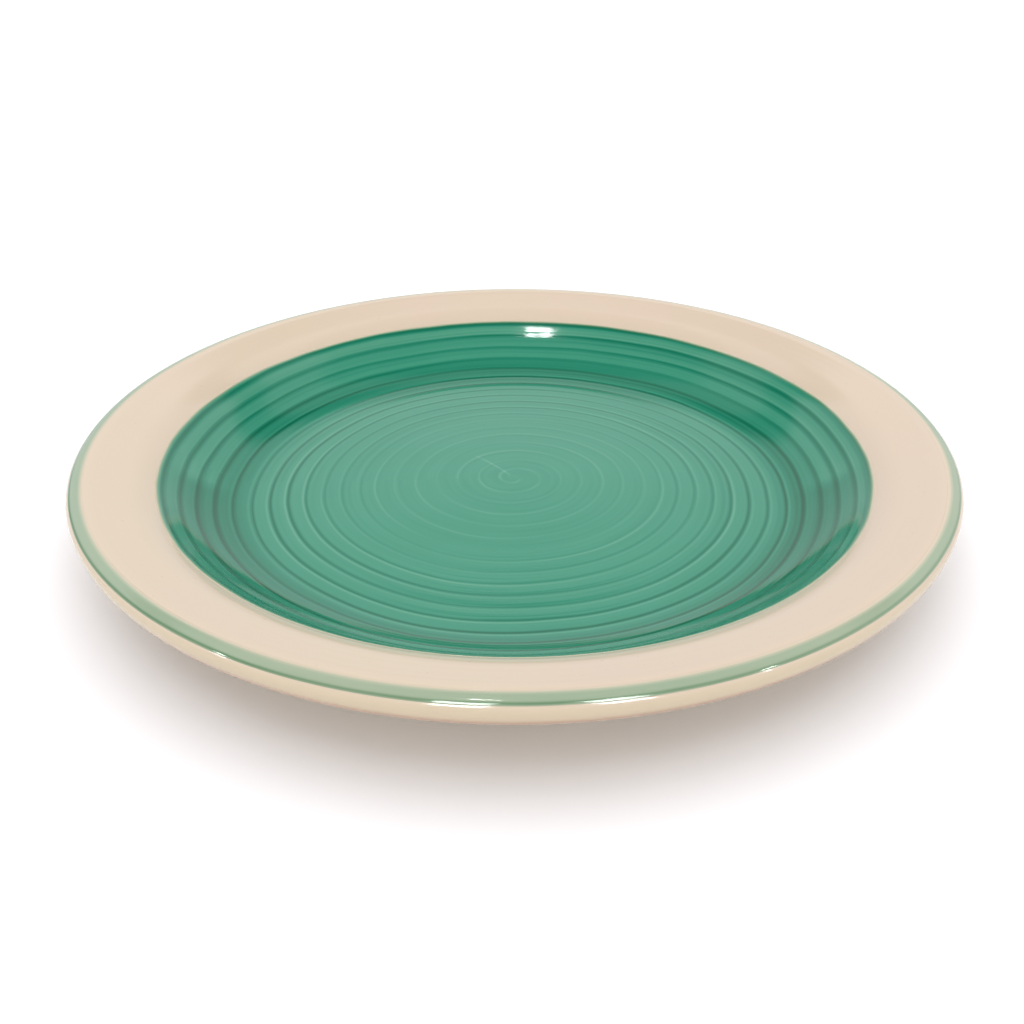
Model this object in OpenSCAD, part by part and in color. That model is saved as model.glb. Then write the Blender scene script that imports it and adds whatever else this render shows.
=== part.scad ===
// Dinner plate in glazed stoneware, built as the pottery builds it: a fired clay
// body, a cream glaze coat over it, a second cream coat inside the foot ring, and
// the green colours laid over the cream in the well and round the lip.
// Millimetres, +Z up, origin at the centre of the foot ring's standing face.

/* [Overall] */
// Diameter over the glazed lip
plate_d = 270; // [200:1:330]
// Height of the rim's crest above the floor of the well
well_depth = 20.1; // [16:0.5:26]

/* [Well] */
// Width of the rim, from the lip's widest point to the edge of the well
rim_w = 24; // [20:0.2:34]
// Width of the sloping wall and cove, from the edge of the well to the flat floor
wall_w = 31; // [26:0.5:37]
// Steepness of the wall below the edge of the well, in degrees
wall_angle = 38; // [30:1:42]
// How far the middle of the floor stands above its lowest circle
floor_rise = 1.5; // [0:0.1:2.5]

/* [Rim and lip] */
// Height of the rim's crest above the edge of the well
rim_rise = 6.1; // [4:0.1:8]
// Width of the rounded corner where the wall turns on to the rim
corner_w = 8; // [6:0.2:9]
// Distance from the lip's widest point in to the rim's crest
lip_w = 4.8; // [4:0.1:6]
// Drop from the crest to the lip's widest point
lip_drop = 2.3; // [1.8:0.1:3.2]
// Thickness of the lip, from its crest to its underside
lip_t = 7; // [6:0.1:8]

/* [Clay] */
// Thickness of the clay floor
floor_t = 4.5; // [3.6:0.1:6]
// Thickness of the clay wall of the well
wall_t = 5.3; // [4.2:0.1:6.4]

/* [Foot ring] */
// Height of the foot ring, from the standing face to the ceiling of its recess
foot_h = 3; // [2.4:0.1:4]
// Width of the foot ring
foot_w = 6; // [5:0.2:8]
// Distance from the edge of the well in to the outside of the foot ring
foot_inset = 30; // [25:0.5:36]
// Radius on the foot ring's two standing corners
foot_corner = 1; // [0.6:0.1:1.4]
// Height of the bare clay left under the glaze on the foot ring
glaze_line = 1.5; // [1.2:0.1:1.8]

/* [Glaze coats] */
// Thickness of the cream coat
cream_t = 0.4; // [0.3:0.05:0.6]
// Thickness of the green coat in the well, in the grooves
green_t = 0.2; // [0.15:0.05:0.4]
// Height of the ridges that the turning brush leaves in the green coat
ridge_h = 0.12; // [0.05:0.01:0.2]
// Spacing of those ridges, measured along the surface
ridge_pitch = 5.7; // [4:0.1:8]
// How far the green band turns over the lip: 0 is the crest and 90 the widest point
band_turn = 59; // [50:1:70]
// Thickness of the green band
band_t = 0.12; // [0.08:0.01:0.25]
// Length over which a painted edge thins out
feather_w = 1.2; // [0.5:0.1:2]

/* [Hidden] */
$fn = 144;

clay_colour = "#d8bfa2";
cream_colour = "#e8d7bf";
green_colour = "#5fa58b";
band_colour = "#9fc0a2";

// Points on each stretch between two stations of the clay's outline
stretch_steps = 10;
// Points across one ridge of the green coat
ridge_steps = 8;
// Thinnest that a feathered edge gets, as a share of its coat
feather_share = 0.25;

clay_r = plate_d / 2 - cream_t;
well_r = plate_d / 2 - rim_w;
floor_r = well_r - wall_w;
crest_r = plate_d / 2 - lip_w;
foot_r = well_r - foot_inset;

floor_z = foot_h + floor_t;
crest_z = floor_z + well_depth;
edge_z = crest_z - rim_rise;

// Steepness at the painted edge of the well, where the corner has begun to turn
edge_angle = wall_angle - 3;
// Length of the straight part of the wall below that edge, along the radius
wall_run = 6;
// About how steep the rim is where it leaves the corner
rim_lean = 14;
// Where the rim leaves its straight slope to round over the crest
roll_w = 4.2;
roll_drop = 0.75;
// How far the underside starts in from the lip's widest point
lip_in = 2.8;
// Width and height of the shoulder outside the foot ring
shoulder_w = 5;
shoulder_h = 0.7;
// Slope of the foot ring's sides from the vertical
foot_draft = 12;
// Width of the fillet inside the foot ring
recess_fillet = 2.6;
// How far the recess rises to its centre, which keeps the floor even
recess_rise = 0.7;

// Stations round the clay's outline, from the centre of the well, over the lip and back
// under to the centre of the recess: [radius, height, heading of the outline in degrees].
// The clay is on the right of the heading and the open air on the left.
corner_end = [well_r + corner_w, edge_z + corner_w * tan((edge_angle + rim_lean) / 2)];
roll_start = [crest_r - roll_w, crest_z - roll_drop];
rim_slope = atan2(roll_start[1] - corner_end[1], roll_start[0] - corner_end[0]);
wall_top = [well_r, edge_z, edge_angle];
wall_foot = [well_r - wall_run, edge_z - wall_run * tan(wall_angle), wall_angle];
lip_under = [clay_r - lip_in, crest_z - lip_t];
under_top = inside_of(wall_top);
rim_under = atan2(under_top[1] - lip_under[1], under_top[0] - lip_under[0]);

outline = [
    [0, floor_z + floor_rise, 0],
    [floor_r, floor_z, 0],
    wall_foot,
    wall_top,
    [corner_end[0], corner_end[1], rim_slope],
    [roll_start[0], roll_start[1], rim_slope],
    [crest_r, crest_z, 0],
    on_lip(band_turn),
    on_lip(90),
    [lip_under[0], lip_under[1], rim_under],
    [under_top[0], under_top[1], 180 + edge_angle],
    inside_of(wall_foot),
    [foot_r + shoulder_w, foot_h + shoulder_h, 185],
    [foot_r, glaze_line, 270 - foot_draft],
    [foot_r - foot_corner, 0, 180],
    [foot_r - foot_w + foot_corner, 0, 180],
    [foot_r - foot_w, glaze_line, 90 + foot_draft],
    [foot_r - foot_w - recess_fillet, foot_h, 180],
    [0, foot_h + recess_rise, 180],
];

// Where each coat starts and ends, as places in that list
well_edge = 3;
crest = 6;
band_end = 7;
glaze_end = 13;
recess_start = 16;
centre_end = len(outline) - 1;

// The station on the lip's quarter ellipse at a turn from 0 at the crest to 90 at the widest point
function on_lip(turn) = [
    crest_r + (clay_r - crest_r) * sin(turn),
    crest_z - lip_drop * (1 - cos(turn)),
    -atan2(lip_drop * sin(turn), (clay_r - crest_r) * cos(turn)),
];

// The station straight through the wall from one on the upper face
function inside_of(s) = [s[0] + wall_t * sin(s[2]), s[1] - wall_t * cos(s[2]), s[2] + 180];

// The two ends and end headings of the stretch that place u lies on
function stretch(u) = min(floor(u), len(outline) - 2);
function at(s) = [s[0], s[1]];
function pull(s, length) = length * [cos(s[2]), sin(s[2])];

// Point on the clay's outline at place u, where whole numbers are the stations
function on_clay(u) =
    let (a = outline[stretch(u)], b = outline[stretch(u) + 1], t = u - stretch(u), d = norm(at(b) - at(a)))
    (2 * t^3 - 3 * t^2 + 1) * at(a) + (t^3 - 2 * t^2 + t) * pull(a, d)
    + (3 * t^2 - 2 * t^3) * at(b) + (t^3 - t^2) * pull(b, d);

// Unit vector out of the clay at place u
function out_of_clay(u) =
    let (a = outline[stretch(u)], b = outline[stretch(u) + 1], t = u - stretch(u), d = norm(at(b) - at(a)))
    let (v = (6 * t^2 - 6 * t) * (at(a) - at(b))
             + (3 * t^2 - 4 * t + 1) * pull(a, d) + (3 * t^2 - 2 * t) * pull(b, d))
    [-v[1], v[0]] / norm(v);

// Point that stands proud of the clay at place u; on the axis it stays on the axis
function proud(u, t) = let (p = on_clay(u) + t * out_of_clay(u)) [abs(p[0]) < 1e-6 ? 0 : p[0], p[1]];

function places(from, to, steps = stretch_steps) = [for (i = [0 : (to - from) * steps]) from + i / steps];
function reversed(list) = [for (i = [len(list) - 1 : -1 : 0]) list[i]];

// Distance along the outline from the centre of the well, as pairs of distance and place
arc_steps = 40;
arc_table = [
    for (i = 0, s = 0; i <= band_end * arc_steps;
         s = s + norm(on_clay((i + 1) / arc_steps) - on_clay(i / arc_steps)), i = i + 1)
    [s, i / arc_steps]
];
place_table = [for (pair = arc_table) [pair[1], pair[0]]];
function along(u) = lookup(u, place_table);
function place_at(s) = lookup(s, arc_table);

// Share of its thickness that a coat has at distance s, between edges at a and b
function feather(s, a, b) =
    let (near = min(s - a, b - s) / feather_w)
    near >= 1 ? 1 : feather_share + (1 - feather_share) * sin(90 * max(near, 0));

// A coat of even thickness over the clay between two places
module coat(from, to, thickness) {
    span = places(from, to);
    rotate_extrude()
        polygon(concat([for (u = span) proud(u, thickness)], reversed([for (u = span) proud(u, 0)])));
}

// Clay body: well, rim, lip and foot ring in one turned piece
module clay_body() {
    color(clay_colour)
        rotate_extrude()
            polygon([for (u = places(0, centre_end)) proud(u, 0)]);
}

// Cream coat over the whole upper face, round the lip and down to the foot ring
module cream_glaze() {
    color(cream_colour)
        coat(0, glaze_end, cream_t);
}

// Cream coat inside the foot ring
module foot_recess_glaze() {
    color(cream_colour)
        coat(recess_start, centre_end, cream_t);
}

// Green coat in the well, in ridges left by the brush on the turning plate
module well_green_glaze() {
    edge_s = along(well_edge);
    step = ridge_pitch / ridge_steps;
    marks = [for (i = [0 : floor(edge_s / step - 0.5)]) i * step, edge_s];
    upper = [
        for (s = marks)
        proud(place_at(s), cream_t + feather(s, -feather_w, edge_s)
              * (green_t + ridge_h * abs(sin(180 * s / ridge_pitch))))
    ];
    lower = [for (u = places(0, well_edge)) proud(u, cream_t)];
    color(green_colour)
        rotate_extrude()
            polygon(concat(upper, reversed(lower)));
}

// Green band painted over the cream, from the crest to the turn of the lip
module lip_green_band() {
    span = places(crest, band_end);
    upper = [
        for (u = span)
        proud(u, cream_t + band_t * feather(along(u), along(crest), along(band_end)))
    ];
    lower = [for (u = span) proud(u, cream_t)];
    color(band_colour)
        rotate_extrude()
            polygon(concat(upper, reversed(lower)));
}

clay_body();
cream_glaze();
foot_recess_glaze();
well_green_glaze();
lip_green_band();
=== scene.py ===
"""Glazed stoneware dinner plate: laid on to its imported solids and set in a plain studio."""

from math import atan2, cos, exp, pi, radians, sin, tau

import bmesh
import bpy
from bpy.props import FloatProperty, FloatVectorProperty, IntProperty, PointerProperty
from bpy.types import Operator, Panel, PropertyGroup
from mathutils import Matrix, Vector


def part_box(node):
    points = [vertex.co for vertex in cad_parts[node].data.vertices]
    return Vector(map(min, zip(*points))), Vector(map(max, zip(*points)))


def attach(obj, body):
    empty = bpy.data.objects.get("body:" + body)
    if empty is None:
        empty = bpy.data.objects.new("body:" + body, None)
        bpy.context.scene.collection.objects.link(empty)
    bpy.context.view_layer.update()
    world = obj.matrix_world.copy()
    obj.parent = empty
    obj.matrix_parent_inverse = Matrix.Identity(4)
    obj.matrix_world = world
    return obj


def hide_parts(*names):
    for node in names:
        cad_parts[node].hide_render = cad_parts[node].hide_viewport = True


bl_info = {
    "name": "Dinner Plate",
    "version": (1, 0, 0),
    "blender": (4, 5, 0),
    "location": "View3D > Sidebar > Plate",
    "description": "Glazes a stoneware dinner plate and sets it in a studio",
    "category": "Object",
}

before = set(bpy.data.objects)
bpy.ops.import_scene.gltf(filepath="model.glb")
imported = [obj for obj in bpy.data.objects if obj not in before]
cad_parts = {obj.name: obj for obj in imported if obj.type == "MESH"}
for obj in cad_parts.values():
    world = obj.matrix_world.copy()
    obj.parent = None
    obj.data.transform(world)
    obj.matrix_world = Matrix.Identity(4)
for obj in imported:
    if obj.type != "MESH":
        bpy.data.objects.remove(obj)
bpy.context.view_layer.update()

MM = 0.001
CLAY_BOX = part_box("clay_body")
CREAM_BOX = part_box("cream_glaze")
WELL_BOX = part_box("well_green_glaze")
BAND_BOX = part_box("lip_green_band")


# ---------------------------------------------------------------- sizes and colours


class PlateGlaze(PropertyGroup):
    """Sizes and colours of the fired-on coats."""

    cream: FloatVectorProperty(
        name="Cream",
        description="Colour of the cream glaze",
        subtype="COLOR",
        size=3,
        min=0,
        max=1,
        default=(0.618, 0.508, 0.385),
    )
    cream_warm: FloatVectorProperty(
        name="Cream, rosier",
        description="Colour where the cream glaze lies thinner over the clay",
        subtype="COLOR",
        size=3,
        min=0,
        max=1,
        default=(0.618, 0.496, 0.388),
    )
    # Break line: brown of the specks in the glaze and of the patches on the bare clay, and also
    # painted shade along the under edge of the lip
    brown_mark_and_shade: FloatVectorProperty(
        name="Break line",
        description="Colour where the glaze breaks over the under edge of the lip",
        subtype="COLOR",
        size=3,
        min=0,
        max=1,
        default=(0.42, 0.24, 0.17),
    )
    # Edge stain: an olive painted shade line where the green thins out at the edge of the well
    edge_painted_shade: FloatVectorProperty(
        name="Edge stain",
        description="Olive stain where the green thins out at the edge of the well",
        subtype="COLOR",
        size=3,
        min=0,
        max=1,
        default=(0.40, 0.33, 0.18),
    )
    # Cream, deeper: yellower where the glaze gathers on the outside of the lip, and darker there
    # as painted shade on the lip's outer and under faces
    cream_deep_and_shaded: FloatVectorProperty(
        name="Cream, deeper",
        description="Colour where the cream glaze gathers on the outside of the lip",
        subtype="COLOR",
        size=3,
        min=0,
        max=1,
        default=(0.602, 0.497, 0.346),
    )
    green_clearness: FloatVectorProperty(
        name="Green clearness",
        description="Share of red, green and blue light that one full coat of green lets back",
        subtype="COLOR",
        size=3,
        min=0,
        max=1,
        default=(0.066, 0.475, 0.395),
    )
    band_clearness: FloatVectorProperty(
        name="Band clearness",
        description="The same for one full coat of the softer green on the lip",
        subtype="COLOR",
        size=3,
        min=0,
        max=1,
        default=(0.345, 0.635, 0.57),
    )
    band_line: FloatVectorProperty(
        name="Band line",
        description="Colour of the dark line that gathers at the band's outer edge",
        subtype="COLOR",
        size=3,
        min=0,
        max=1,
        default=(0.085, 0.185, 0.085),
    )
    band_lean: FloatProperty(
        name="Band's deep side",
        description="Direction of the side where the band is widest and deepest",
        subtype="ANGLE",
        unit="ROTATION",
        default=radians(200),
    )
    clay: FloatVectorProperty(
        name="Bare clay",
        description="Colour of the fired clay on the foot ring",
        subtype="COLOR",
        size=3,
        min=0,
        max=1,
        default=(0.52, 0.38, 0.27),
    )
    gloss: FloatProperty(
        name="Glaze roughness",
        description="Roughness of the fired glaze",
        subtype="FACTOR",
        min=0,
        max=1,
        default=0.07,
    )
    green_t: FloatProperty(
        name="Green thickness",
        description="Thickness of the green coat in the well",
        subtype="DISTANCE",
        unit="LENGTH",
        default=0.22 * MM,
    )
    band_t: FloatProperty(
        name="Band thickness",
        description="Thickness of the green band on the lip",
        subtype="DISTANCE",
        unit="LENGTH",
        default=0.1 * MM,
    )
    pitch: FloatProperty(
        name="Stroke spacing",
        description="Distance between one turn of the brush and the next on the floor of the well",
        subtype="DISTANCE",
        unit="LENGTH",
        default=5.7 * MM,
    )
    inner_pitch: FloatProperty(
        name="Stroke spacing, inner",
        description="The same distance near the middle, where the brush was started",
        subtype="DISTANCE",
        unit="LENGTH",
        default=6.8 * MM,
    )
    stroke_start: FloatProperty(
        name="Stroke start",
        description="Turns by which the brush's path is set back, which turns the whole spiral",
        default=-0.175,
    )
    relief: FloatProperty(
        name="Groove depth",
        description="Depth of the groove between one turn of the brush and the next",
        subtype="DISTANCE",
        unit="LENGTH",
        default=0.055 * MM,
    )
    steps: IntProperty(
        name="Steps round",
        description="Number of steps in a full turn of each coat",
        min=64,
        max=512,
        default=360,
    )


class PlateStage(PropertyGroup):
    """Camera and light of the studio."""

    elevation: FloatProperty(
        name="Camera elevation",
        description="Angle of the view down on the rim",
        subtype="ANGLE",
        unit="ROTATION",
        default=radians(26.13),
    )
    distance: FloatProperty(
        name="Camera distance",
        description="Distance from the lens to the middle of the rim, in plate radii",
        default=2.744,
    )
    roll: FloatProperty(
        name="Camera roll",
        description="How far the camera leans to its right",
        subtype="ANGLE",
        unit="ROTATION",
        default=radians(0.05),
    )
    lens: FloatProperty(
        name="Lens",
        description="Focal length on a 36 mm wide film",
        unit="CAMERA",
        default=41.03,
    )
    shift: FloatVectorProperty(
        name="Lens shift",
        description="Sideways and upward shift of the frame, in frame widths",
        size=2,
        default=(-0.0025, -0.0802),
    )
    aim_drop: FloatProperty(
        name="Aim below the crest",
        description="How far below the rim's crest the lens is aimed",
        subtype="DISTANCE",
        unit="LENGTH",
        default=1.03 * MM,
    )
    key: FloatProperty(
        name="Key light",
        description="Strength of the broad light overhead, in watts a square metre",
        default=2.33,
    )
    fill: FloatProperty(
        name="Fill light",
        description="Strength of the shadowless light from the camera's side",
        default=0.7,
    )
    room: FloatProperty(
        name="Room light",
        description="Strength of the pale walls of the room",
        default=0.9,
    )


# ---------------------------------------------------------------- the turned outline


class Outline:
    """The clay's section from the middle of the well, over the lip, to the middle of the base."""

    def __init__(self, node):
        mesh = bmesh.new()
        mesh.from_mesh(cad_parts[node].data)
        bmesh.ops.remove_doubles(mesh, verts=mesh.verts, dist=0.02 * MM)
        bmesh.ops.bisect_plane(
            mesh,
            geom=mesh.verts[:] + mesh.edges[:] + mesh.faces[:],
            dist=0.005 * MM,
            plane_co=(0, 0, 0),
            plane_no=(0, 1, 0),
            clear_inner=True,
            clear_outer=True,
        )
        bmesh.ops.remove_doubles(mesh, verts=mesh.verts, dist=0.05 * MM)
        axis = [v for v in mesh.verts if abs(v.co.x) < 0.02 * MM]
        here = max(axis, key=lambda v: v.co.z)
        last = min(axis, key=lambda v: v.co.z)
        seen = {here}
        chain = [here]
        while here is not last:
            ahead = [e.other_vert(here) for e in here.link_edges]
            here = max((v for v in ahead if v not in seen), key=lambda v: v.co.x)
            seen.add(here)
            chain.append(here)
        self.points = [Vector((v.co.x, v.co.z)) for v in chain]
        mesh.free()
        self.reach = [0.0]
        for a, b in zip(self.points, self.points[1:]):
            self.reach.append(self.reach[-1] + (b - a).length)
        self.headings = [self.heading(i) for i in range(len(self.points))]

    def heading(self, i):
        """Heading at one point, from its two neighbours, the nearer one weighing more."""
        if i in (0, len(self.points) - 1):
            return Vector((1, 0)) if i == 0 else Vector((-1, 0))
        before = (self.points[i] - self.points[i - 1]) / (self.reach[i] - self.reach[i - 1])
        after = (self.points[i + 1] - self.points[i]) / (self.reach[i + 1] - self.reach[i])
        share = (self.reach[i] - self.reach[i - 1]) / (self.reach[i + 1] - self.reach[i - 1])
        return (before * (1 - share) + after * share).normalized()

    def at(self, s):
        """Point and outward normal at distance s along the outline."""
        s = min(max(s, 0), self.reach[-1])
        i = next(k for k in range(len(self.reach) - 1) if s <= self.reach[k + 1])
        run = self.reach[i + 1] - self.reach[i]
        t = (s - self.reach[i]) / run
        a, b = self.points[i], self.points[i + 1]
        u, v = self.headings[i] * run, self.headings[i + 1] * run
        point = (
            a * (2 * t**3 - 3 * t**2 + 1)
            + u * (t**3 - 2 * t**2 + t)
            + b * (3 * t**2 - 2 * t**3)
            + v * (t**3 - t**2)
        )
        along = (
            (a - b) * (6 * t * t - 6 * t)
            + u * (3 * t * t - 4 * t + 1)
            + v * (3 * t * t - 2 * t)
        ).normalized()
        return point, Vector((-along.y, along.x))

    def find(self, test):
        """Distance along the outline to the first point that passes the test."""
        return next(s for s, p in zip(self.reach, self.points) if test(p))

    def proud(self, s, height):
        """Point that stands a height off the clay at distance s."""
        point, normal = self.at(s)
        place = point + normal * height
        return Vector((max(place.x, 0), place.y))


CLAY = Outline("clay_body")
CREAM_T = CREAM_BOX[1].x - CLAY_BOX[1].x
EDGE_S = CLAY.find(lambda p: p.x > WELL_BOX[1].x)
CREST_S = CLAY.find(lambda p: p.y > CLAY_BOX[1].z - 0.001 * MM)
WIDEST_S = CLAY.find(lambda p: p.x > CLAY_BOX[1].x - 0.001 * MM)

# Places in the well, as distances along the outline: where the strokes come to their even
# spacing, where the floor turns up, the middle of the cove and the middle of the wall
EVEN_S = EDGE_S - 71.8 * MM
TURN_UP_S = EDGE_S - 28.8 * MM
COVE_S = EDGE_S - 24.8 * MM
WALL_S = EDGE_S - 13.8 * MM


def spread(start, end, spacing):
    """Even distances from start to end, about a spacing apart."""
    count = max(2, round((end - start) / spacing))
    return [start + (end - start) * i / count for i in range(count + 1)]


def first(reach, test):
    """First of some distances where the clay's point and normal pass the test."""
    return next(s for s in reach if test(*CLAY.at(s)))


def ramped(value):
    """The value, held between 0 and 1."""
    return min(1, max(0, value))


def turned(name, outer, inner, steps, relief=None):
    """A closed coat: outer and inner are (distance, place) lists that run the same way."""
    mesh = bmesh.new()
    along = mesh.verts.layers.float.new("along")
    side = mesh.verts.layers.float.new("side")
    ring = []
    for s, place in outer + inner[::-1]:
        vert = mesh.verts.new((place.x, 0, place.y))
        vert[along] = s
        vert[side] = 1.0 if len(ring) < len(outer) else 0.0
        ring.append(vert)
    edges = [mesh.edges.new(pair) for pair in zip(ring, ring[1:])]
    if ring[-1].co.x > 1e-7:
        edges.append(mesh.edges.new((ring[-1], ring[0])))
    bmesh.ops.spin(
        mesh,
        geom=ring + edges,
        cent=(0, 0, 0),
        axis=(0, 0, 1),
        angle=tau,
        steps=steps,
        use_merge=True,
    )
    bmesh.ops.remove_doubles(mesh, verts=mesh.verts, dist=1e-7)
    bmesh.ops.recalc_face_normals(mesh, faces=mesh.faces)
    mesh.normal_update()
    if relief:
        moves = [
            (v, v.normal * relief(v[along], atan2(v.co.y, v.co.x) / tau))
            for v in mesh.verts
            if v[side] > 0.5
        ]
        for vert, move in moves:
            vert.co += move
    data = bpy.data.meshes.new(name)
    mesh.to_mesh(data)
    mesh.free()
    data.shade_smooth()
    piece = bpy.data.objects.new(name, data)
    bpy.context.scene.collection.objects.link(piece)
    return piece


# ---------------------------------------------------------------- shader arithmetic


def feed(tree, value, socket):
    """Sets a socket to a number or colour, or links a wire to it."""
    if isinstance(value, Wire):
        tree.links.new(value.socket, socket)
    else:
        socket.default_value = value


class Wire:
    """An output socket that stands in for a number in Python arithmetic."""

    def __init__(self, socket):
        self.socket = socket

    def math(self, operation, *values):
        """One Math node fed with numbers or wires."""
        tree = self.socket.id_data
        node = tree.nodes.new("ShaderNodeMath")
        node.operation = operation
        for value, socket in zip(values, node.inputs):
            feed(tree, value, socket)
        return Wire(node.outputs[0])

    def __add__(self, other):
        return self.math("ADD", self, other)

    def __radd__(self, other):
        return self.math("ADD", other, self)

    def __sub__(self, other):
        return self.math("SUBTRACT", self, other)

    def __rsub__(self, other):
        return self.math("SUBTRACT", other, self)

    def __mul__(self, other):
        return self.math("MULTIPLY", self, other)

    def __rmul__(self, other):
        return self.math("MULTIPLY", other, self)

    def __truediv__(self, other):
        return self.math("DIVIDE", self, other)

    def __rtruediv__(self, other):
        return self.math("DIVIDE", other, self)

    def __pow__(self, other):
        return self.math("POWER", self, other)

    def __rpow__(self, other):
        return self.math("POWER", other, self)

    def floor(self):
        return self.math("FLOOR", self)

    def size(self):
        return self.math("ABSOLUTE", self)

    def below(self, most):
        return self.math("MINIMUM", self, most)

    def bump(self, width):
        """1 where the value is 0, falling away on both sides over a width."""
        return exp(1) ** (0 - (self / width) ** 2)

    def rise(self, start, end):
        """0 before start, 1 past end and a smooth step between."""
        tree = self.socket.id_data
        node = tree.nodes.new("ShaderNodeMapRange")
        node.interpolation_type = "SMOOTHSTEP"
        for value, name in ((self, "Value"), (start, "From Min"), (end, "From Max")):
            feed(tree, value, node.inputs[name])
        return Wire(node.outputs[0])


class Finish:
    """One material and the wires that feed its shader."""

    def __init__(self, name):
        self.material = bpy.data.materials.new(name)
        self.material.use_nodes = True
        self.tree = self.material.node_tree
        self.shader = self.tree.nodes["Principled BSDF"]

    def node(self, kind, settings=None, sockets=None, out=0):
        """Adds a node: its settings first, then the values or links of its sockets."""
        node = self.tree.nodes.new(kind)
        settings = dict(settings or {})
        stops = settings.pop("stops", [])
        for name, value in settings.items():
            setattr(node, name, value)
        if stops:
            ramp = node.color_ramp
            ramp.interpolation = "CARDINAL"
            while len(ramp.elements) < len(stops):
                ramp.elements.new(0.5)
            for element, (place, colour) in zip(ramp.elements, stops):
                element.position = place
                element.color = (*colour, 1)
        for name, value in (sockets or {}).items():
            feed(self.tree, value, node.inputs[name])
        return Wire(node.outputs[out])

    def ramp(self, value, stops):
        return self.node("ShaderNodeValToRGB", {"stops": stops}, {"Fac": value})

    def place(self):
        return self.node("ShaderNodeTexCoord", out="Object")

    def split(self, vector):
        """The three parts of a vector."""
        node = self.node("ShaderNodeSeparateXYZ", sockets={0: vector}).socket.node
        return [Wire(socket) for socket in node.outputs]

    def vector(self, x, y, z=0.0):
        return self.node("ShaderNodeCombineXYZ", sockets={0: x, 1: y, 2: z})

    def noise(self, vector, scale, detail=2.0, roughness=0.5):
        """Cloudy noise round 0.5."""
        sockets = {"Vector": vector, "Scale": scale, "Detail": detail, "Roughness": roughness}
        return self.node("ShaderNodeTexNoise", sockets=sockets)

    def mix(self, share, first, second):
        """The first colour, with a share of the second."""
        settings = {"data_type": "RGBA"}
        return self.node("ShaderNodeMix", settings, {0: share, 6: first, 7: second}, out=2)

    def along(self):
        """Distance from the middle of the well, measured along the clay's outline."""
        return self.node("ShaderNodeAttribute", {"attribute_name": "along"}, out="Fac")

    def turn(self):
        """Angle round the plate as a share of a full turn, from -0.5 to 0.5."""
        x, y, _ = self.split(self.place())
        return x.math("ARCTAN2", y, x) / tau

    def relief(self, height, depth):
        """Feeds a height to the shader's normal, with depth in metres."""
        return self.node("ShaderNodeBump", sockets={"Distance": depth, "Height": height})

    def done(self, **sockets):
        """Feeds the shader's own sockets and hands over the material."""
        for name, value in sockets.items():
            feed(self.tree, value, self.shader.inputs[name.replace("_", " ")])
        return self.material


def rgba(colour):
    """The colour, fully opaque."""
    return (*colour, 1.0)


def strained(cream, clearness, coats):
    """Colour of cream seen through a number of coats of green."""
    return tuple(c * t**coats for c, t in zip(cream, clearness))


# ---------------------------------------------------------------- finishes


# Deepest that the green ever pools, in coats
MOST_COATS = 2.4


def green_over(f, thick, cream, clearness):
    """Colour of cream under a varying thickness of green, from none to the deepest pool."""
    coats = (0, 0.2, 0.5, 0.8, 1.1, 1.5, 1.9, MOST_COATS)
    stops = [(c / MOST_COATS, strained(cream, clearness, c)) for c in coats]
    return f.ramp(thick / MOST_COATS, stops)


def stroke_count(glaze, s, turn):
    """Number of brush turns out from the middle, for numbers and wires alike."""
    near = min(s - EVEN_S, 0) if isinstance(s, float) else (s - EVEN_S).below(0)
    wider = 1 / glaze.inner_pitch - 1 / glaze.pitch
    return s * (1 / glaze.pitch) + near * wider + turn + glaze.stroke_start


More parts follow.
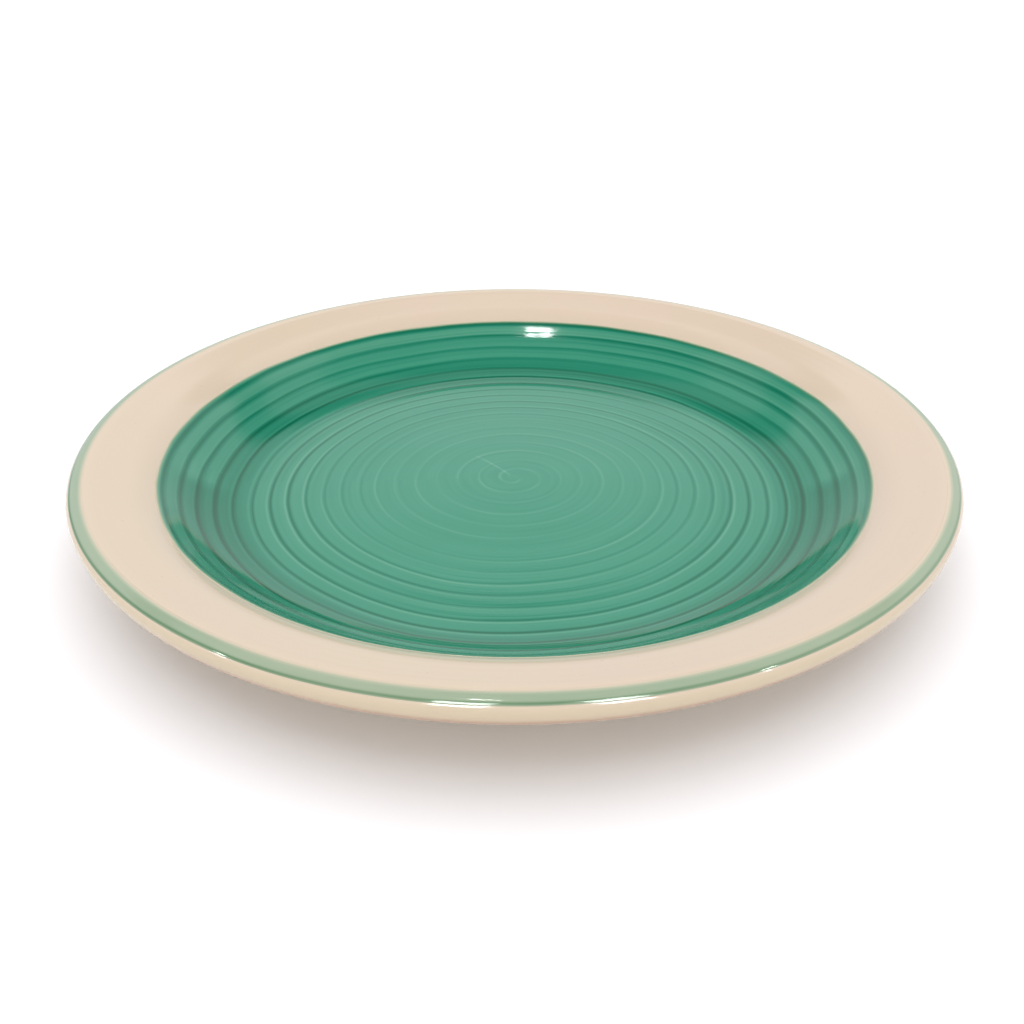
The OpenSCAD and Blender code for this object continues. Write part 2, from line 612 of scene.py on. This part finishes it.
def green_glaze(glaze):
    """Green coat in the well: one long brush stroke, pooled dark between its turns."""
    f = Finish("green_glaze")
    place = f.place()
    s = f.along()
    turn = f.turn()
    drift = f.noise(place, 14.0, 1.0) - 0.5
    wander = f.noise(place, 45.0, 1.0) - 0.5
    count = stroke_count(glaze, s, turn) + drift * 0.5 + wander * 0.12
    whole = count.floor()
    across = count - whole
    path = whole - turn

    # Across one stroke: pooled at its edges, now and then again past its middle, and thin
    # where the brush pressed hardest. All three come and go along the stroke.
    out = s.rise(EVEN_S - 5 * MM, COVE_S - 6 * MM)
    wall = s.rise(TURN_UP_S, WALL_S - 3 * MM)
    pool = (0.5 - (across - 0.5).size()).bump(0.1 + wall * 0.09)
    twin = (across - 0.62).bump(0.12)
    thin = (across - 0.2).bump(0.08)
    lively = f.noise(f.vector(path * 2.3, 0.0), 1.0, 1.0).rise(0.36, 0.64)
    second = f.noise(f.vector(path * 1.7, 9.0), 1.0, 1.0).rise(0.42, 0.66)
    soft = f.noise(f.vector(across * 2.2 + whole * 3.7, path * 2.0), 1.0, 2.0, 0.5) - 0.5
    fine = f.noise(f.vector(across * 6.0 + whole * 11.3, path * 5.0), 1.0, 1.0, 0.5) - 0.5
    cloud = f.noise(place, 22.0, 2.0) - 0.5
    thick = (
        0.98
        + pool * (0.05 + out * 0.85) * (0.35 + lively * 0.75)
        + twin * second * out * 0.24
        - thin * (0.15 + out * 0.1) * (0.4 + lively * 0.9)
        - s.rise(WALL_S - 7 * MM, WALL_S + 3 * MM) * 0.14
        + soft * (0.24 + wall * 0.26)
        + fine * (0.16 - wall * 0.12)
        + cloud * 0.14
    )

    # The melting glaze runs down the wall and pools in the cove
    thick = thick + (s - COVE_S).bump(5 * MM) * 0.42
    # Painted shade: the green is made deeper on the wall at the two sides of the front. Painted
    # reflection: it is made deeper along the floor's back, where the dark wall is mirrored.
    back = (turn * tau).math("SINE", turn * tau)
    front_side_shade = back.rise(-0.06, -0.15) * back.rise(-1.0, -0.7)
    thick = thick + front_side_shade * (s - WALL_S).bump(8 * MM) * 0.5
    # Painted dark reflection along the back of the floor
    thick = thick + back.rise(0.55, 0.95) * (s - TURN_UP_S + 5 * MM).bump(4.5 * MM) * 0.42

    # It thins out to nothing at the edge of the well, behind a small bead
    rim = s + wander * (0.9 * MM) - EDGE_S
    edge = rim.rise(-0.1 * MM, -1.1 * MM)
    bead = (rim + 1.9 * MM).bump(0.8 * MM)
    thick = (thick + bead * 0.16) * (0.05 + 0.95 * edge)

    # A thin streak where the brush was lifted away from the middle
    lift = (turn - (0.345 + s * 0.6)) * s * tau
    lifted = lift.bump(0.45 * MM) * s.rise(1 * MM, 4 * MM) * s.rise(26 * MM, 14 * MM)
    thick = thick - lifted * 0.22

    colour = green_over(f, thick, glaze.cream, glaze.green_clearness)
    # Painted shade: an olive line just inside the well's edge, where shade falls as the rim turns
    # down into the well
    edge_shade_mask = (rim + 0.5 * MM).bump(0.5 * MM) * 0.4
    colour = f.mix(edge_shade_mask, colour, rgba(glaze.edge_painted_shade))
    normal = f.relief(soft * 0.5 + fine * 0.3, 0.05 * MM)
    roughness = glaze.gloss + f.noise(place, 160.0, 2.0) * 0.03
    return f.done(Base_Color=colour, Roughness=roughness, Normal=normal)


def cream_glaze(glaze, name, shade_line_at):
    """Cream coat, faintly clouded. Given a distance along the outline, it also lays a brown line
    of painted shade there, under the lip's edge.
    """
    f = Finish(name)
    place = f.place()
    s = f.along()
    cloud = f.noise(place, 11.0, 2.0).rise(0.35, 0.68)
    colour = f.mix(cloud, rgba(glaze.cream), rgba(glaze.cream_warm))
    specks = f.noise(place, 900.0, 1.0).rise(0.74, 0.8)
    colour = f.mix(specks * 0.25, colour, rgba(glaze.brown_mark_and_shade))
    if shade_line_at:
        # Outside of the lip: a yellower cream where the glaze gathers, darkened as painted shade
        outside = s.rise(WIDEST_S - 1.5 * MM, WIDEST_S)
        colour = f.mix(outside, colour, rgba(glaze.cream_deep_and_shaded))
        # Painted shade: a ragged brown line where the lip turns under, standing in for the shade
        # beneath its edge
        ragged = (f.noise(place, 90.0, 2.0) - 0.5) * (0.5 * MM)
        under_lip_shade = (s + ragged - shade_line_at).bump(1.1 * MM)
        colour = f.mix(under_lip_shade * 0.7, colour, rgba(glaze.brown_mark_and_shade))
    # Faint turning rings in the clay below, and the glaze's own skin
    rings = f.noise(f.vector(s * (1 / MM), 0.0), 0.55, 2.0) - 0.5
    skin = f.noise(place, 700.0, 1.0) - 0.5
    normal = f.relief(rings * 0.8 + skin * 0.12, 0.06 * MM)
    roughness = glaze.gloss + f.noise(place, 130.0, 2.0) * 0.03
    return f.done(Base_Color=colour, Roughness=roughness, Normal=normal)


def band_glaze(glaze, start, end):
    """Thin green band round the lip: soft inside, run to a darker line at its outer edge."""
    f = Finish("band_green")
    place = f.place()
    s = f.along()
    turn = f.turn()
    loose = f.noise(place, 26.0, 2.0) - 0.5
    share = (s - start) / (end - start) + loose * 0.1
    # The brush leaned on one side of the lip, where the band is wider and deeper
    lean = (turn * tau - glaze.band_lean).math("COSINE", turn * tau - glaze.band_lean)
    wash = share.rise(0.03 - lean * 0.08, 0.45 - lean * 0.05) * (0.63 + lean * 0.06)
    pools = f.noise(place, 17.0, 2.0)
    brush = f.noise(f.vector(share * 6.0, turn * 60.0), 1.0, 2.0) - 0.5
    thick = wash * share.rise(1.03, 0.95) * (0.65 + pools * 0.7 + brush * 0.1)
    colour = green_over(f, thick, glaze.cream, glaze.band_clearness)
    line = (share - 0.88).bump(0.085) * (0.6 + lean * 0.28) * (0.75 + pools * 0.6)
    colour = f.mix(line, colour, rgba(glaze.band_line))
    normal = f.relief(brush, 0.03 * MM)
    return f.done(Base_Color=colour, Roughness=glaze.gloss, Normal=normal)


def bare_clay(glaze):
    """Fired clay, sandy and matt, with darker patches."""
    f = Finish("fired_clay")
    place = f.place()
    grain = f.noise(place, 1400.0, 3.0, 0.7)
    patch = f.noise(place, 60.0, 3.0)
    dark = rgba([c * 0.62 for c in glaze.clay])
    colour = f.mix(grain.rise(0.3, 0.75), dark, rgba(glaze.clay))
    colour = f.mix(patch.rise(0.5, 0.8) * 0.35, colour, rgba(glaze.brown_mark_and_shade))
    normal = f.relief(grain, 0.25 * MM)
    roughness = 0.72 + patch * 0.2
    return f.done(Base_Color=colour, Roughness=roughness, Normal=normal)


# ---------------------------------------------------------------- pieces


def dress(piece, material, node):
    """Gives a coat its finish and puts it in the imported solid's place."""
    piece.data.materials.append(material)
    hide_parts(node)
    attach(piece, "root")


class PLATE_OT_clay(Operator):
    """Finish the clay body, which shows only on the foot ring"""

    bl_idname = "plate.clay"
    bl_label = "Clay Body"

    def execute(self, context):
        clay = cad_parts["clay_body"]
        material = bare_clay(context.scene.plate_glaze)
        clay.data.materials.clear()
        clay.data.materials.append(material)
        return {"FINISHED"}


class PLATE_OT_cream(Operator):
    """Lay the cream coats over the clay and inside the foot ring"""

    bl_idname = "plate.cream"
    bl_label = "Cream Glaze"

    def execute(self, context):
        glaze = context.scene.plate_glaze
        # The cream runs down to the bare clay of the foot ring. Its steps are fine over the
        # rim and the lip, and wider under the green and beneath the plate.
        centre = CLAY.reach[-1]
        bare = CREAM_BOX[0].z + CREAM_T
        end = first(spread(WIDEST_S, centre, 0.1 * MM), lambda p, n: p.y < bare)
        edge, under = EDGE_S - 4 * MM, WIDEST_S + 9 * MM
        visible = (
            spread(0, edge, 3 * MM)[:-1]
            + spread(edge, under, 0.5 * MM)[:-1]
            + spread(under, end, 1.5 * MM)
        )
        hidden = spread(0, end, 4 * MM)
        outer = [(s, CLAY.proud(s, CREAM_T)) for s in visible]
        inner = [(s, CLAY.proud(s, 0)) for s in hidden]
        # The painted shade line goes where the lip's surface turns to face downward
        shade_line_at = first(spread(WIDEST_S, end, 0.1 * MM), lambda p, n: n.y < -0.5)
        coat = turned("cream_glaze_coat", outer, inner, glaze.steps)
        dress(coat, cream_glaze(glaze, "cream_glaze", shade_line_at), "cream_glaze")

        # The second coat starts at the same height inside the foot ring
        start = first(reversed(spread(end, centre, 0.1 * MM)), lambda p, n: p.y < bare)
        reach = spread(start, centre, 0.8 * MM)
        outer = [(s, CLAY.proud(s, CREAM_T)) for s in reach]
        inner = [(s, CLAY.proud(s, 0)) for s in reach[::3] + reach[-1:]]
        coat = turned("foot_recess_coat", outer, inner, glaze.steps)
        material = cream_glaze(glaze, "recess_glaze", None)
        dress(coat, material, "foot_recess_glaze")
        return {"FINISHED"}


class PLATE_OT_green(Operator):
    """Brush the green coat into the well in one long spiral"""

    bl_idname = "plate.green"
    bl_label = "Green Well"

    def execute(self, context):
        glaze = context.scene.plate_glaze
        flat, feather = 40 * MM, 1.4 * MM

        def over(s):
            """Height of the green, which thins out at the edge of the well."""
            fade = min(1, (EDGE_S - s) / feather)
            return CREAM_T + glaze.green_t * (0.15 + 0.85 * sin(fade * pi / 2))

        def relief(s, turn):
            """Grooves that grow outward from the flat middle and soften up the wall."""
            across = stroke_count(glaze, s, turn) % 1
            grown = ramped(s / flat - 1)
            softened = 1 - 0.75 * ramped((s - TURN_UP_S) / (10 * MM))
            return glaze.relief * grown * softened * cos((across - 0.5) * tau) * 0.5

        reach = spread(0, EDGE_S, 0.52 * MM)
        outer = [(s, CLAY.proud(s, over(s))) for s in reach]
        inner = [(s, CLAY.proud(s, CREAM_T)) for s in spread(0, EDGE_S, 3 * MM)]
        coat = turned("well_green_coat", outer, inner, glaze.steps, relief)
        dress(coat, green_glaze(glaze), "well_green_glaze")
        return {"FINISHED"}


class PLATE_OT_band(Operator):
    """Brush the thin green band round the lip"""

    bl_idname = "plate.band"
    bl_label = "Lip Band"

    def execute(self, context):
        glaze = context.scene.plate_glaze
        lowest = BAND_BOX[0].z
        end = first(
            spread(CREST_S, WIDEST_S, 0.05 * MM), lambda p, n: (p + n * CREAM_T).y < lowest
        )
        reach = spread(CREST_S, end, 0.25 * MM)
        feather = 1 * MM

        def over(s):
            """Height of the band, which dips just into the cream at both its edges."""
            fade = min(1, (s - CREST_S) / feather, (end - s) / feather)
            return CREAM_T + glaze.band_t * (1.15 * sin(fade * pi / 2) - 0.15)

        outer = [(s, CLAY.proud(s, over(s))) for s in reach]
        inner = [(s, CLAY.proud(s, CREAM_T)) for s in reach]
        coat = turned("lip_band_coat", outer, inner, glaze.steps)
        dress(coat, band_glaze(glaze, CREST_S, end), "lip_green_band")
        return {"FINISHED"}


# ---------------------------------------------------------------- stage


def lamp(name, size, power, place, aim):
    """A bright pane at a place, turned to face its aim, that shows only in the glaze."""
    data = bpy.data.lights.new(name, "AREA")
    data.shape = "RECTANGLE"
    data.size, data.size_y = size
    data.energy = power
    light = bpy.data.objects.new(name, data)
    bpy.context.scene.collection.objects.link(light)
    light.location = place
    light.rotation_euler = (Vector(aim) - Vector(place)).to_track_quat("-Z", "Y").to_euler()
    light.visible_diffuse = False
    light.visible_camera = False
    return light


def sun(name, strength, angle, azimuth, elevation, shadow=True):
    """A broad even light from far off, too diffuse to show in the glaze."""
    data = bpy.data.lights.new(name, "SUN")
    data.energy = strength
    data.angle = radians(angle)
    data.use_shadow = shadow
    light = bpy.data.objects.new(name, data)
    bpy.context.scene.collection.objects.link(light)
    light.rotation_euler = toward(azimuth, elevation).to_track_quat("Z", "Y").to_euler()
    light.visible_glossy = False
    return light


def toward(azimuth, elevation):
    """Place one metre out from the middle of the plate, at angles in degrees."""
    a, e = radians(azimuth), radians(elevation)
    return Vector((cos(a) * cos(e), sin(a) * cos(e), sin(e)))


class PLATE_OT_stage(Operator):
    """Set the floor, the lights and the camera"""

    bl_idname = "plate.stage"
    bl_label = "Stage"

    def execute(self, context):
        stage = context.scene.plate_stage
        self.floor()
        self.room(context, stage)
        self.lights(stage)
        self.camera(context, stage)
        return {"FINISHED"}

    def floor(self):
        """Lay a wide sheet of pale paper."""
        half_width = 6
        mesh = bmesh.new()
        bmesh.ops.create_grid(mesh, x_segments=1, y_segments=1, size=half_width)
        data = bpy.data.meshes.new("floor")
        mesh.to_mesh(data)
        mesh.free()
        floor = bpy.data.objects.new("floor", data)
        bpy.context.scene.collection.objects.link(floor)
        f = Finish("floor_paper")
        floor.data.materials.append(
            f.done(Base_Color=(0.9, 0.887, 0.905, 1), Roughness=0.9, Specular_IOR_Level=0.0)
        )

    def room(self, context, stage):
        """Make the room that the glaze reflects."""
        world = bpy.data.worlds.new("studio")
        world.use_nodes = True
        context.scene.world = world
        tree = world.node_tree
        back = tree.nodes["Background"]
        ray = tree.nodes.new("ShaderNodeTexCoord")
        parts = tree.nodes.new("ShaderNodeSeparateXYZ")
        tree.links.new(ray.outputs["Generated"], parts.inputs[0])
        # Sine of the elevation: pale walls, a dark ceiling above them and a hazy ring in it
        height = Wire(parts.outputs[2])
        walls = height.rise(0.65, 0.59) * (0.6 + height.rise(0.02, 0.14) * 0.4)
        ring = height.rise(0.69, 0.74) * height.rise(0.87, 0.82)
        strength = (0.06 + walls * 0.94 + ring * 0.5) * stage.room
        tree.links.new(strength.socket, back.inputs["Strength"])
        back.inputs["Color"].default_value = (0.95, 0.97, 1, 1)
        context.scene.view_settings.view_transform = "Standard"

    def lights(self, stage):
        """Light the plate softly, with a few bright panes to show in the glaze."""
        sun("key", stage.key, 78, 90, 87)
        sun("fill", stage.fill, 60, 270, 40, shadow=False)
        window, bulb, spot = (0.17, 0.42), (0.024, 0.024), (0.05, 0.05)
        panes = (
            ("window_left", window, 4.5, toward(256.5, 47)),
            ("window_right", window, 4.5, toward(296, 45)),
            ("bulb_left", bulb, 0.22, (-0.088, -0.035, 1.0)),
            ("bulb_right", bulb, 0.22, (-0.05, -0.035, 1.0)),
            ("spot_left", spot, 0.3, toward(200, 33)),
            ("spot_right", spot, 0.3, toward(330, 35)),
        )
        middle = (0, 0, 0.02)
        for name, size, power, place in panes:
            lamp(name, size, power, place, middle)

    def camera(self, context, stage):
        """Set the camera in front of the plate, looking down on it."""
        data = bpy.data.cameras.new("camera")
        data.lens = stage.lens
        data.sensor_width = 36.0
        data.clip_start = 0.01
        data.shift_x, data.shift_y = stage.shift
        camera = bpy.data.objects.new("camera", data)
        context.scene.collection.objects.link(camera)
        radius = CREAM_BOX[1].x
        target = Vector((0, 0, CREAM_BOX[1].z - stage.aim_drop))
        offset = Vector((0, -cos(stage.elevation), sin(stage.elevation)))
        camera.location = target + offset * stage.distance * radius
        aim = (target - camera.location).to_track_quat("-Z", "Y")
        camera.rotation_euler = aim.to_euler()
        camera.rotation_euler.rotate_axis("Z", -stage.roll)
        context.scene.camera = camera


# ---------------------------------------------------------------- add-on


class PLATE_PT_panel(Panel):
    """The plate's pieces, in the order that they are made"""

    bl_label = "Dinner Plate"
    bl_space_type = "VIEW_3D"
    bl_region_type = "UI"
    bl_category = "Plate"

    def draw(self, context):
        layout = self.layout
        for operator in OPERATORS:
            layout.operator(operator.bl_idname)
        for group in (context.scene.plate_glaze, context.scene.plate_stage):
            box = layout.box()
            for name in group.__annotations__:
                box.prop(group, name)


OPERATORS = (PLATE_OT_clay, PLATE_OT_cream, PLATE_OT_green, PLATE_OT_band, PLATE_OT_stage)
CLASSES = (PlateGlaze, PlateStage, *OPERATORS, PLATE_PT_panel)


def register():
    """Put the add-on's classes and settings in place."""
    for cls in CLASSES:
        bpy.utils.register_class(cls)
    bpy.types.Scene.plate_glaze = PointerProperty(type=PlateGlaze)
    bpy.types.Scene.plate_stage = PointerProperty(type=PlateStage)


def unregister():
    """Take the add-on out again."""
    del bpy.types.Scene.plate_stage
    del bpy.types.Scene.plate_glaze
    for cls in reversed(CLASSES):
        bpy.utils.unregister_class(cls)


def main():
    """Make the plate and its stage."""
    register()
    bpy.ops.plate.clay()
    bpy.ops.plate.cream()
    bpy.ops.plate.green()
    bpy.ops.plate.band()
    bpy.ops.plate.stage()


if __name__ == "__main__":
    main()
